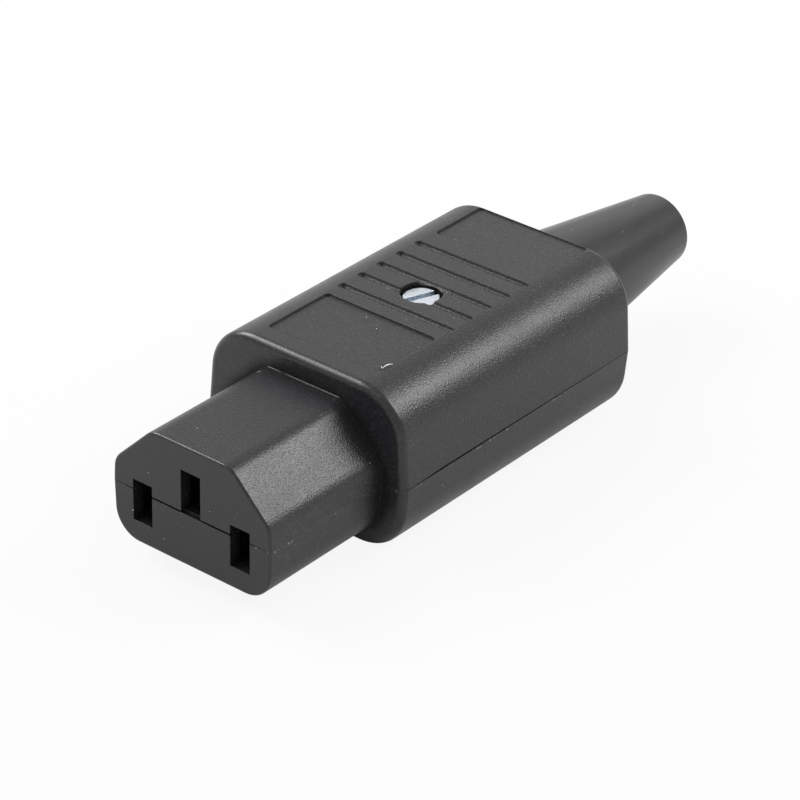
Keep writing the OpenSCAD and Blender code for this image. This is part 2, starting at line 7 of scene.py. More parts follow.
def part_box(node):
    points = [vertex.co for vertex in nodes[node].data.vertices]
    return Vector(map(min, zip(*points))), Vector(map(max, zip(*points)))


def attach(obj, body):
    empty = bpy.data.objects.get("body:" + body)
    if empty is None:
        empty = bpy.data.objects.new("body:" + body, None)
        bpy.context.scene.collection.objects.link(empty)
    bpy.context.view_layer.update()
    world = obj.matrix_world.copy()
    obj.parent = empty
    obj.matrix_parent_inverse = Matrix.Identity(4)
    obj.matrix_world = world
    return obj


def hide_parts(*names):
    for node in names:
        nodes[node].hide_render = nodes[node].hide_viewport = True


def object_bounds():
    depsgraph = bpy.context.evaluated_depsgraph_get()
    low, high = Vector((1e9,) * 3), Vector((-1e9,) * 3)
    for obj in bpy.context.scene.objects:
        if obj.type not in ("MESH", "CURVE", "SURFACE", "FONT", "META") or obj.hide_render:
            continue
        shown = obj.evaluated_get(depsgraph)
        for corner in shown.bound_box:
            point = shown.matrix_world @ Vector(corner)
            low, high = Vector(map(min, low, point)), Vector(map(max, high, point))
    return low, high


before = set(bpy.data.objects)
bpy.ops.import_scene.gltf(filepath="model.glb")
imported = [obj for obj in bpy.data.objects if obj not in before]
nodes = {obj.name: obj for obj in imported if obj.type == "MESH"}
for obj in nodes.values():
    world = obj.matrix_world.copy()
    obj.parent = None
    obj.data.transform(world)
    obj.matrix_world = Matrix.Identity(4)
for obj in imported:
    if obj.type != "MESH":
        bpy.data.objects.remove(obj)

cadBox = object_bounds()
mm = 0.001
print("frame loaded:", len(nodes), "nodes")

# settings that nodes share
multiply, multiplyAdd, add, subtract, divide, compare = (
    dict(operation=name) for name in ("MULTIPLY", "MULTIPLY_ADD", "ADD", "SUBTRACT", "DIVIDE",
                                      "COMPARE"))
colours = dict(data_type="RGBA")
vectors = dict(data_type="FLOAT_VECTOR")
sampled = dict(samples=6)     # rays for a rounded edge or a recess
octaves = 0.55                # weight of each finer octave of a noise
noiseSpan = (0.3, 0.7)        # where nearly all of a noise lies
openSpan = (0.9, 0.55)        # openness of a plain face, and deep in a recess
tiny = 1e-6                   # metres, closer than any two corners


def linear(hexColour):
    # sRGB hex to the linear values that shader sockets take
    parts = [int(hexColour[i:i + 2], 16) / 255 for i in (1, 3, 5)]
    return tuple(p / 12.92 if p <= 0.04045 else ((p + 0.055) / 1.055) ** 2.4 for p in parts) + (1,)


def addNode(tree, kind, settings=None, **links):
    # settings are the node's own properties; a link sets an input to a value, an output or
    # another node's first output, and i0, i1 and so on are inputs by number
    node = tree.nodes.new(kind)
    for name, value in (settings or {}).items():
        setattr(node, name, value)
    for name, value in links.items():
        spot = int(name[1:]) if name[0] == "i" and name[1:].isdigit() else name.replace("_", " ")
        if isinstance(value, bpy.types.Node):
            value = value.outputs[0]
        if isinstance(value, bpy.types.NodeSocket):
            tree.links.new(value, node.inputs[spot])
        else:
            node.inputs[spot].default_value = value
    return node


def newMaterial(name):
    material = bpy.data.materials.new(name)
    material.use_nodes = True
    tree = material.node_tree
    tree.nodes.clear()
    return material, tree


def patchy(tree, spot, size, span, to, detail=2.0):
    # blotches so many mm wide, whose span of noise is stretched to run from one value to another
    noise = addNode(tree, "ShaderNodeTexNoise", Vector=spot, Scale=1 / (size * mm), Detail=detail,
                    Roughness=octaves)
    return addNode(tree, "ShaderNodeMapRange", Value=noise, From_Min=span[0], From_Max=span[1],
                   To_Min=to[0], To_Max=to[1])


def inside(tree, spot, box):
    # 1 inside the box and 0 outside it; box is {axis: (middle, half its width)} in mm
    axes = addNode(tree, "ShaderNodeSeparateXYZ", Vector=spot).outputs
    share = 1.0
    for axis, (middle, half) in box.items():
        near = addNode(tree, "ShaderNodeMath", compare, i0=axes[axis], i1=middle * mm,
                       i2=half * mm)
        share = addNode(tree, "ShaderNodeMath", multiply, i0=share, i1=near)
    return share


def recessShare(tree, reach):
    # 1 deep in a slot, hole or groove and 0 on open faces
    seen = addNode(tree, "ShaderNodeAmbientOcclusion", sampled, Distance=reach * mm)
    return addNode(tree, "ShaderNodeMapRange", Value=seen.outputs["AO"], From_Min=openSpan[0],
                   From_Max=openSpan[1], To_Min=0.0, To_Max=1.0)


def relief(tree, height, depth, edge, strength=1.0):
    # edges rounded to a radius in metres, with a relief of some depth in mm on top
    soft = addNode(tree, "ShaderNodeBevel", sampled, Radius=edge)
    return addNode(tree, "ShaderNodeBump", Height=height, Strength=strength, Distance=depth * mm,
                   Normal=soft)


nylon = dict(
    body="#1d1b1e",       # black glass-filled nylon
    dry="#232124",        # patches where the glass lies near the skin
    cloud=5.0,            # mm between those patches
    glass="#3b393b",      # fine specks where a fibre's end shows
    glassSize=0.3,        # mm; a real end is 0.01, drawn coarser so that it shows
    glassSpan=(0.52, 0.7),      # span of noise that they are cut from, as in the spans below
    glassShare=0.6,
    face=dict(Y=(0.0, 0.05)),   # the mating face, which is moulded smoother
    faceShare=0.35,       # share of the specks there
    recess="#0a0a0b",     # painted shade, near black, laid deep in holes and grooves; also the dark of the parting line
    recessReach=2.0,      # mm
    recessRough=0.3,
    # share of the painted shade, a matt near-black, mixed over the skin deep in a recess
    recessShadeShare=0.6,
    ior=1.53,
    roughness=0.33,
    roughSpread=0.04,
    grain=0.2,            # mm; real spark grain is about 0.05, drawn coarser so that it shows
    grainDepth=0.046,     # mm
    edge=0.12,            # mm, radius of a moulded edge
    topEdge=0.28,         # mm, the same on the grip face, which is worn rounder
    topStart=12.0,        # mm, height at which the grip face begins
    topFade=0.2,          # mm
    noseRim=dict(Y=(0.17, 0.16)),     # the two front rims, which are rubbed glossy
    bodyRim=dict(Y=(18.96, 0.44)),
    rubbedRough=-0.06,
    rubbedGrain=0.25,     # share of the grain left there
    seam=dict(Z=(1.4, 0.05)),         # the parting line
    seamPatch=4.0,        # mm
    seamSpan=(0.42, 0.6),
    seamShare=0.8,
    nicks=dict(Z=(1.23, 0.12)),       # knocked into the lower shell's edge
    nickSize=0.45,        # mm
    nickSpan=(0.56, 0.64),
    nickShare=0.35,
    nickPatch=7.0,        # mm
    nickPatchSpan=(0.46, 0.56),
    paintedRootGlint=dict(Y=(18.45, 0.07), Z=(9.72, 0.1), X=(-0.1, 5.1)),   # painted highlight: a pale glint laid at the nose's root
    paintedRootGlintPatch=1.5,       # mm
    paintedRootGlintSpan=(0.35, 0.5),
    paintedRootGlintShare=(0.25, 1.0),     # least and most
    # pale tone of the nicks, and of the painted highlight at the nose's root
    nickAndRootGlintTone="#b4b4b6",
)


def sparkGrainedNylon(name, look, shell):
    # moulded against a spark-eroded steel: a dry black whose soft gloss breaks up into fine grain
    material, tree = newMaterial(name)
    spot = addNode(tree, "ShaderNodeTexCoord").outputs["Object"]
    height = addNode(tree, "ShaderNodeSeparateXYZ", Vector=spot).outputs[2]
    grain = addNode(tree, "ShaderNodeTexNoise", Vector=spot, Scale=1 / (look["grain"] * mm),
                    Detail=1.0, Roughness=octaves)
    cloud = addNode(tree, "ShaderNodeTexNoise", Vector=spot, Scale=1 / (look["cloud"] * mm),
                    Detail=3.0, Roughness=octaves)
    recess = recessShare(tree, look["recessReach"])
    tone = addNode(tree, "ShaderNodeMix", colours, i0=cloud, i6=linear(look["body"]),
                   i7=linear(look["dry"])).outputs[2]
    specks = patchy(tree, spot, look["glassSize"], look["glassSpan"], (0.0, look["glassShare"]),
                    1.0)
    smooth = addNode(tree, "ShaderNodeMapRange", Value=inside(tree, spot, look["face"]),
                     To_Min=1.0, To_Max=look["faceShare"])
    specks = addNode(tree, "ShaderNodeMath", multiply, i0=specks, i1=smooth)
    tone = addNode(tree, "ShaderNodeMix", colours, i0=specks, i6=tone,
                   i7=linear(look["glass"])).outputs[2]
    rough = addNode(tree, "ShaderNodeMapRange", Value=cloud, From_Min=noiseSpan[0],
                    From_Max=noiseSpan[1], To_Min=look["roughness"] - look["roughSpread"],
                    To_Max=look["roughness"] + look["roughSpread"])
    strength = 1.0
    if shell:
        # witness of the parting line: a hair of darker skin where the halves meet
        broken = patchy(tree, spot, look["seamPatch"], look["seamSpan"],
                        (0.0, look["seamShare"]))
        line = addNode(tree, "ShaderNodeMath", multiply, i0=inside(tree, spot, look["seam"]),
                       i1=broken)
        tone = addNode(tree, "ShaderNodeMix", colours, i0=line, i6=tone,
                       i7=linear(look["recess"])).outputs[2]
        # pale nicks below it, in patches
        nicks = patchy(tree, spot, look["nickSize"], look["nickSpan"], (0.0, look["nickShare"]))
        knocked = patchy(tree, spot, look["nickPatch"], look["nickPatchSpan"], (0.0, 1.0))
        for part in (inside(tree, spot, look["nicks"]), knocked):
            nicks = addNode(tree, "ShaderNodeMath", multiply, i0=nicks, i1=part)
        tone = addNode(tree, "ShaderNodeMix", colours, i0=nicks, i6=tone,
                       i7=linear(look["nickAndRootGlintTone"])).outputs[2]
        # painted highlight: a thin pale glint laid at the nose's root, broken here and there
        paintedRootGlint = patchy(tree, spot, look["paintedRootGlintPatch"], look["paintedRootGlintSpan"], look["paintedRootGlintShare"])
        paintedRootGlint = addNode(tree, "ShaderNodeMath", multiply, i0=paintedRootGlint,
                        i1=inside(tree, spot, look["paintedRootGlint"]))
        tone = addNode(tree, "ShaderNodeMix", colours, i0=paintedRootGlint, i6=tone,
                       i7=linear(look["nickAndRootGlintTone"])).outputs[2]
        rims = addNode(tree, "ShaderNodeMath", add, i0=inside(tree, spot, look["noseRim"]),
                       i1=inside(tree, spot, look["bodyRim"]))
        rough = addNode(tree, "ShaderNodeMath", multiplyAdd, i0=rims, i1=look["rubbedRough"],
                        i2=rough)
        strength = addNode(tree, "ShaderNodeMapRange", Value=rims, To_Min=1.0,
                           To_Max=look["rubbedGrain"])
    rough = addNode(tree, "ShaderNodeMath", multiplyAdd, i0=recess, i1=look["recessRough"],
                    i2=rough)
    edge = addNode(tree, "ShaderNodeMapRange", Value=height, From_Min=look["topStart"] * mm,
                   From_Max=(look["topStart"] + look["topFade"]) * mm, To_Min=look["edge"] * mm,
                   To_Max=look["topEdge"] * mm)
    bump = relief(tree, grain, look["grainDepth"], edge, strength)
    skin = addNode(tree, "ShaderNodeBsdfPrincipled", Base_Color=tone, Roughness=rough,
                   IOR=look["ior"], Normal=bump)
    # painted shade: deep in holes, slots and grooves a matt near-black is mixed over the skin
    dull = addNode(tree, "ShaderNodeBsdfDiffuse", Color=linear(look["recess"]))
    share = addNode(tree, "ShaderNodeMath", multiply, i0=recess, i1=look["recessShadeShare"])
    both = addNode(tree, "ShaderNodeMixShader", i0=share, i1=skin, i2=dull)
    addNode(tree, "ShaderNodeOutputMaterial", Surface=both)
    return material


vinyl = dict(
    dark="#1b1b1b", pale="#252424",
    haze=4.0,             # mm
    flow=0.5,             # mm across one flow line
    flowDepth=0.002,      # mm
    stretch=(1.0, 0.03, 1.0),   # flow lines run along Y
    ior=1.52,
    roughness=(0.27, 0.33),     # least and most
    edge=0.15,            # mm
)


def satinVinyl(name, look):
    # soft PVC drawn off a polished core: closed, greasy satin with faint flow lines along it
    material, tree = newMaterial(name)
    spot = addNode(tree, "ShaderNodeTexCoord").outputs["Object"]
    lengthways = addNode(tree, "ShaderNodeMapping", Vector=spot, Scale=look["stretch"])
    flow = addNode(tree, "ShaderNodeTexNoise", Vector=lengthways, Scale=1 / (look["flow"] * mm),
                   Detail=3.0, Roughness=octaves)
    haze = addNode(tree, "ShaderNodeTexNoise", Vector=spot, Scale=1 / (look["haze"] * mm),
                   Detail=3.0, Roughness=octaves)
    tone = addNode(tree, "ShaderNodeMix", colours, i0=haze, i6=linear(look["dark"]),
                   i7=linear(look["pale"])).outputs[2]
    rough = addNode(tree, "ShaderNodeMapRange", Value=flow, From_Min=noiseSpan[0],
                    From_Max=noiseSpan[1], To_Min=look["roughness"][0],
                    To_Max=look["roughness"][1])
    shader = addNode(tree, "ShaderNodeBsdfPrincipled", Base_Color=tone, Roughness=rough,
                     IOR=look["ior"],
                     Normal=relief(tree, flow, look["flowDepth"], look["edge"] * mm))
    addNode(tree, "ShaderNodeOutputMaterial", Surface=shader)
    return material


plate = dict(
    bright="#f2f6fa", milky="#d3dae2",
    slotShade="#a4b0ba",       # painted shade: a grey tone laid deep in the slot
    slotShadeReach=1.0,        # mm
    milk=1.2,             # mm
    dents=0.9,            # mm
    dentDepth=0.12,       # mm
    lines=0.12,           # mm
    stretch=(0.03, 1.0, 1.0),   # lines run along X
    roughness=(0.3, 0.5),
    edge=0.08,            # mm
)


def zincPlate(name, look):
    # barrel-plated zinc, blue passivated: bright, a little milky, dented from the barrel
    material, tree = newMaterial(name)
    spot = addNode(tree, "ShaderNodeTexCoord").outputs["Object"]
    milk = addNode(tree, "ShaderNodeTexNoise", Vector=spot, Scale=1 / (look["milk"] * mm),
                   Detail=3.0, Roughness=octaves)
    dents = addNode(tree, "ShaderNodeTexNoise", Vector=spot, Scale=1 / (look["dents"] * mm),
                    Detail=2.0, Roughness=octaves)
    sideways = addNode(tree, "ShaderNodeMapping", Vector=spot, Scale=look["stretch"])
    rough = patchy(tree, sideways, look["lines"], noiseSpan, look["roughness"], 1.0)
    tone = addNode(tree, "ShaderNodeMix", colours, i0=milk, i6=linear(look["bright"]),
                   i7=linear(look["milky"])).outputs[2]
    # painted shade: the tone turns grey deep in the slot, by ambient occlusion
    tone = addNode(tree, "ShaderNodeMix", colours, i0=recessShare(tree, look["slotShadeReach"]),
                   i6=tone, i7=linear(look["slotShade"])).outputs[2]
    shader = addNode(tree, "ShaderNodeBsdfPrincipled", Base_Color=tone, Metallic=1.0,
                     Roughness=rough,
                     Normal=relief(tree, dents, look["dentDepth"], look["edge"] * mm))
    addNode(tree, "ShaderNodeOutputMaterial", Surface=shader)
    return material


strip = dict(
    hair=0.1,             # mm across one hairline
    hairDepth=0.003,      # mm
    hairRough=0.07,
    stretch=(1.0, 0.03, 1.0),   # hairlines run along Y
    tarnish=2.2,          # mm
    tarnishOctaves=0.6,
    tarnishSpan=(0.4, 0.7),
    tarnishRough=0.12,
    edge=0.04,            # mm
)


def rolledStrip(name, look, bright, dull, roughness):
    # metal rolled to strip and pressed: hairlines along the strip, dulled where fingers were
    material, tree = newMaterial(name)
    spot = addNode(tree, "ShaderNodeTexCoord").outputs["Object"]
    lengthways = addNode(tree, "ShaderNodeMapping", Vector=spot, Scale=look["stretch"])
    hairlines = addNode(tree, "ShaderNodeTexNoise", Vector=lengthways,
                        Scale=1 / (look["hair"] * mm), Detail=2.0, Roughness=octaves)
    rough = addNode(tree, "ShaderNodeMapRange", Value=hairlines, From_Min=noiseSpan[0],
                    From_Max=noiseSpan[1], To_Min=roughness - look["hairRough"],
                    To_Max=roughness + look["hairRough"])
    tarnish = addNode(tree, "ShaderNodeTexNoise", Vector=spot, Scale=1 / (look["tarnish"] * mm),
                      Detail=4.0, Roughness=look["tarnishOctaves"])
    tarnish = addNode(tree, "ShaderNodeMapRange", Value=tarnish, From_Min=look["tarnishSpan"][0],
                      From_Max=look["tarnishSpan"][1])
    tone = addNode(tree, "ShaderNodeMix", colours, i0=tarnish, i6=linear(bright),
                   i7=linear(dull)).outputs[2]
    rough = addNode(tree, "ShaderNodeMath", multiplyAdd, i0=tarnish, i1=look["tarnishRough"],
                    i2=rough)
    shader = addNode(tree, "ShaderNodeBsdfPrincipled", Base_Color=tone, Metallic=1.0,
                     Roughness=rough,
                     Normal=relief(tree, hairlines, look["hairDepth"], look["edge"] * mm))
    addNode(tree, "ShaderNodeOutputMaterial", Surface=shader)
    return material


def paleLint(name, dark, pale, tuft):
    # cotton and skin dust: matt off-white; tuft is the size of its patches in mm
    material, tree = newMaterial(name)
    spot = addNode(tree, "ShaderNodeTexCoord").outputs["Object"]
    shade = addNode(tree, "ShaderNodeTexNoise", Vector=spot, Scale=1 / (tuft * mm), Detail=2.0,
                    Roughness=octaves)
    tone = addNode(tree, "ShaderNodeMix", colours, i0=shade, i6=linear(dark),
                   i7=linear(pale)).outputs[2]
    shader = addNode(tree, "ShaderNodeBsdfPrincipled", Base_Color=tone, Roughness=0.9)
    addNode(tree, "ShaderNodeOutputMaterial", Surface=shader)
    return material


shellNylon = sparkGrainedNylon("spark_grained_black_nylon", nylon, True)
clampNylon = sparkGrainedNylon("plain_moulded_grey_nylon",
                               dict(nylon, body="#38383a", dry="#414142", roughness=0.45), False)
sleeveVinyl = satinVinyl("satin_black_vinyl", vinyl)
zinc = zincPlate("blue_passivated_zinc", plate)
springSteel = rolledStrip("bright_rolled_spring_steel", strip, "#b9bcbf", "#8d8f90", 0.28)
stripBrass = rolledStrip("pressed_strip_brass", strip, "#d8b25e", "#a98744", 0.3)
drawnBrass = rolledStrip("drawn_terminal_brass", strip, "#cfa957", "#9c7c40", 0.36)
lintWhite = paleLint("settled_lint", "#d2d0cd", "#f2f1ee", 0.2)

finishes = dict(upper_shell=shellNylon, lower_shell=shellNylon, cord_clamp=clampNylon,
                bend_sleeve=sleeveVinyl, housing_nut=zinc)
for name, node in nodes.items():
    if name in finishes:
        finish = finishes[name]
    elif name.endswith("spring"):
        finish = springSteel
    elif name.endswith("contact"):
        finish = stripBrass
    elif name.endswith("terminal"):
        finish = drawnBrass
    else:
        finish = zinc
    node.data.materials.clear()
    node.data.materials.append(finish)
print("materials set on the CAD nodes")


def addObject(name, mesh):
    thing = bpy.data.objects.new(name, mesh)
    bpy.context.scene.collection.objects.link(thing)
    return thing


def bakedMesh(thing, name):
    # what the modifiers make of it, as a plain mesh; the object itself goes
    bpy.context.view_layer.update()
    seen = thing.evaluated_get(bpy.context.evaluated_depsgraph_get())
    mesh = bpy.data.meshes.new_from_object(seen)
    mesh.name = name
    bpy.data.objects.remove(thing)
    return mesh


def newTree(name, sockets):
    # a Geometry Nodes tree with named inputs: {name: (socket type, value)}
    tree = bpy.data.node_groups.new(name, "GeometryNodeTree")
    tree.interface.new_socket("Geometry", in_out="INPUT", socket_type="NodeSocketGeometry")
    for label, (kind, value) in sockets.items():
        socket = tree.interface.new_socket(label, in_out="INPUT", socket_type=kind)
        if value is not None:
            socket.default_value = value
    tree.interface.new_socket("Geometry", in_out="OUTPUT", socket_type="NodeSocketGeometry")
    return tree, addNode(tree, "NodeGroupInput")


def closeTree(tree, geometry, material):
    plain = addNode(tree, "GeometryNodeRealizeInstances", i0=geometry)
    painted = addNode(tree, "GeometryNodeSetMaterial", i0=plain, Material=material)
    addNode(tree, "NodeGroupOutput", i0=painted)


def runTree(tree, base, values, name):
    # base is the mesh that the tree starts from, values are its inputs by label
    thing = addObject(name, base)
    modifier = thing.modifiers.new("tree", "NODES")
    modifier.node_group = tree
    for item in tree.interface.items_tree:
        if item.item_type == "SOCKET" and item.in_out == "INPUT" and item.name in values:
            modifier[item.identifier] = values[item.name]
    return bakedMesh(thing, name)


screws = dict(
    # mm: core and crest of the thread, its pitch, the slotted head, and where the slot points
    housing=dict(nodes=["housing_screw"], crest=1.45, core=1.22, pitch=0.5, head=2.15, height=1.9,
                 slotWidth=0.9, slotDeep=0.6, turn=70),
    terminal=dict(nodes=["line_terminal_screw", "neutral_terminal_screw", "earth_terminal_screw"],
                  crest=1.3, core=1.08, pitch=0.45, head=2.1, height=1.5,
                  slotWidth=0.7, slotDeep=0.75, turn=90),
    clamp=dict(nodes=["left_clamp_screw", "right_clamp_screw"], crest=1.3, core=0.95, pitch=0.9,
               head=2.2, height=1.6, slotWidth=0.7, slotDeep=0.8, turn=0),
)
screwEdges = dict(
    bevel=0.2,            # mm, round the head's rim
    bevelProfile=0.6,
    soft=0.05,            # mm, on every sharp edge
    softAngle=50,         # degrees
    rings=2,              # steps across a bevel
    sides=40,
    runOut=0.4,           # mm, over which the thread fades at its ends
    stepsPerTurn=8,
)


def threadTree():
    # a tube whose radius rises and falls once for each turn of the thread
    tree, given = newTree("rolled_thread", {
        "Core": ("NodeSocketFloat", 0.001), "Rise": ("NodeSocketFloat", 0.0002),
        "Pitch": ("NodeSocketFloat", 0.0005), "Length": ("NodeSocketFloat", 0.01),
        "Run Out": ("NodeSocketFloat", 0.0004), "Rings": ("NodeSocketInt", 64),
        "Material": ("NodeSocketMaterial", None),
    })
    given = given.outputs
    tube = addNode(tree, "GeometryNodeMeshCylinder", Vertices=screwEdges["sides"],
                   Side_Segments=given["Rings"], Radius=given["Core"], Depth=given["Length"])
    place = addNode(tree, "GeometryNodeInputPosition")
    axes = addNode(tree, "ShaderNodeSeparateXYZ", Vector=place).outputs
    angle = addNode(tree, "ShaderNodeMath", dict(operation="ARCTAN2"), i0=axes[1], i1=axes[0])
    turn = addNode(tree, "ShaderNodeMath", divide, i0=angle, i1=2 * math.pi)
    climb = addNode(tree, "ShaderNodeMath", divide, i0=axes[2], i1=given["Pitch"])
    wave = addNode(tree, "ShaderNodeMath", subtract, i0=climb, i1=turn)
    wave = addNode(tree, "ShaderNodeMath", dict(operation="FRACT"), i0=wave)
    slope = addNode(tree, "ShaderNodeMath", multiplyAdd, i0=wave, i1=2.0, i2=-1.0)
    slope = addNode(tree, "ShaderNodeMath", dict(operation="ABSOLUTE"), i0=slope)
    ridge = addNode(tree, "ShaderNodeMath", subtract, i0=1.0, i1=slope)
    # the thread runs out towards both ends
    half = addNode(tree, "ShaderNodeMath", multiply, i0=given["Length"], i1=0.5)
    away = addNode(tree, "ShaderNodeMath", dict(operation="ABSOLUTE"), i0=axes[2])
    toEnd = addNode(tree, "ShaderNodeMath", subtract, i0=half, i1=away)
    fade = addNode(tree, "ShaderNodeMath", divide, i0=toEnd, i1=given["Run Out"])
    fade = addNode(tree, "ShaderNodeMath", dict(operation="MINIMUM"), i0=fade, i1=1.0)
    push = addNode(tree, "ShaderNodeMath", multiply, i0=ridge, i1=fade)
    push = addNode(tree, "ShaderNodeMath", multiply, i0=push, i1=given["Rise"])
    flat = addNode(tree, "ShaderNodeVectorMath", multiply, i0=place, i1=(1, 1, 0))
    out = addNode(tree, "ShaderNodeVectorMath", dict(operation="NORMALIZE"), i0=flat)
    shift = addNode(tree, "ShaderNodeVectorMath", dict(operation="SCALE"), i0=out, Scale=push)
    cut = addNode(tree, "GeometryNodeSetPosition", Geometry=tube, Offset=shift)
    closeTree(tree, cut, given["Material"])
    return tree


def slottedHead(screw, name):
    # head standing on z = 0, bevelled, with its slot sawn across
    work = bmesh.new()
    tall = screw["height"] * mm
    bmesh.ops.create_cone(work, cap_ends=True, segments=screwEdges["sides"],
                          radius1=screw["head"] * mm, radius2=screw["head"] * mm, depth=tall,
                          matrix=Matrix.Translation((0, 0, tall / 2)))
    rim = [e for e in work.edges if all(v.co.z > tall - tiny for v in e.verts)]
    bmesh.ops.bevel(work, geom=rim, offset=screwEdges["bevel"] * mm,
                    segments=screwEdges["rings"], profile=screwEdges["bevelProfile"],
                    affect="EDGES")
    mesh = bpy.data.meshes.new(name)
    work.to_mesh(mesh)
    work.clear()
    saw = (screw["head"] * 3 * mm, screw["slotWidth"] * mm, screw["slotDeep"] * 2 * mm)
    turn = Matrix.Rotation(math.radians(screw["turn"]), 4, "Z")
    bmesh.ops.create_cube(work, size=1.0, matrix=Matrix.Translation((0, 0, tall)) @ turn
                          @ Matrix.Diagonal((*saw, 1)))
    blade = bpy.data.meshes.new(name + "_saw")
    work.to_mesh(blade)
    work.free()
    head, cutter = addObject(name, mesh), addObject(name + "_saw", blade)
    cut = head.modifiers.new("slot", "BOOLEAN")
    cut.operation = "DIFFERENCE"
    cut.solver = "EXACT"
    cut.object = cutter
    soften = head.modifiers.new("soft", "BEVEL")
    soften.width = screwEdges["soft"] * mm
    soften.segments = screwEdges["rings"]
    soften.limit_method = "ANGLE"
    soften.angle_limit = math.radians(screwEdges["softAngle"])
    done = bakedMesh(head, name)
    bpy.data.objects.remove(cutter)
    return done


def joined(parts, name):
    # parts are (mesh, place) pairs; the result is one mesh with its places in it
    whole = bmesh.new()
    for mesh, place in parts:
        before = len(whole.verts)
        whole.from_mesh(mesh)
        whole.verts.ensure_lookup_table()
        bmesh.ops.translate(whole, verts=whole.verts[before:], vec=place)
    mesh = bpy.data.meshes.new(name)
    whole.to_mesh(mesh)
    whole.free()
    return mesh


def makeScrews():
    tree = threadTree()
    for kind, screw in screws.items():
        head = slottedHead(screw, kind + "_screw_head")
        low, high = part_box(screw["nodes"][0])
        length = high.z - low.z - screw["height"] * mm
        thread = runTree(tree, bpy.data.meshes.new("empty"), {
            "Core": screw["core"] * mm, "Rise": (screw["crest"] - screw["core"]) * mm,
            "Pitch": screw["pitch"] * mm, "Length": length,
            "Run Out": screwEdges["runOut"] * mm,
            "Rings": int(length / (screw["pitch"] * mm) * screwEdges["stepsPerTurn"]),
            "Material": zinc}, kind + "_thread")
        for node in screw["nodes"]:
            low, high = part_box(node)
            middle = (low + high) / 2
            headFoot = high.z - screw["height"] * mm
            mesh = joined([(head, Vector((middle.x, middle.y, headFoot))),
                           (thread, Vector((middle.x, middle.y, (low.z + headFoot) / 2)))],
                          node + "_threaded")
            mesh.materials.clear()
            mesh.materials.append(zinc)
            piece = addObject(node + "_threaded", mesh)
            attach(piece, "root")
            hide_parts(node)
        bpy.data.meshes.remove(head)
        bpy.data.meshes.remove(thread)
    print("screws made")


makeScrews()


dust = dict(
    specks=32000.0,       # to the square metre
    speckSize=0.045,      # mm, radius
    fibres=1500.0,        # to the square metre
    fibreRadius=0.012,    # mm, thickness of one fibre
    fibreBend=0.5,        # mm, radius of its curl
    fibreSweep=110,       # degrees
    fibreSteps=7,         # along its curl
    fibreSides=5,
    fibreLength=(0.5, 1.2),     # least and most, against the curl as drawn
    flattest=(0.3, 0.3, 0.2),   # least and most of a speck's size, in its own axes
    fullest=(1.5, 1.0, 0.7),
    onTop=0.75,           # share that falls only on faces that look up
    anywhere=0.25,
    rayStart=0.1,         # mm
    rayReach=30.0,        # mm
    seed=7,
    fibreSeed=11,         # added to the seed
)
lint = dict(
    # mm: a tuft caught beside the front panel, a hair on the nose, and single flecks
    tuft=dict(start=(7.55, 22.6, 12.58), end=(7.85, 24.1, 12.6), thick=0.07),
    tuftEnd=dict(start=(7.2, 22.9, 12.6), end=(7.6, 22.6, 12.6), thick=0.05),
    hair=dict(start=(-5.4, 16.75, 9.65), end=(-5.15, 17.3, 9.66), thick=0.022),
    panelFleck=dict(start=(1.52, 28.9, 12.62), end=(1.62, 28.96, 12.62), thick=0.06),
    landFleck=dict(start=(-1.0, 30.2, 12.62), end=(-0.9, 30.24, 12.62), thick=0.06),
    slotFleck=dict(start=(-8.45, -0.01, -1.5), end=(-8.4, -0.01, -1.4), thick=0.07),
    faceFleck=dict(start=(-3.93, -0.01, -3.25), end=(-3.87, -0.01, -3.22), thick=0.05),
    earthFleck=dict(start=(-6.1, -0.01, 4.2), end=(-6.04, -0.01, 4.3), thick=0.04),
    noseFleck=dict(start=(-2.35, 3.7, 9.66), end=(-2.25, 3.72, 9.66), thick=0.05),
    sideFleck=dict(start=(14.3, 25.3, -0.85), end=(14.3, 25.36, -0.78), thick=0.06),
)


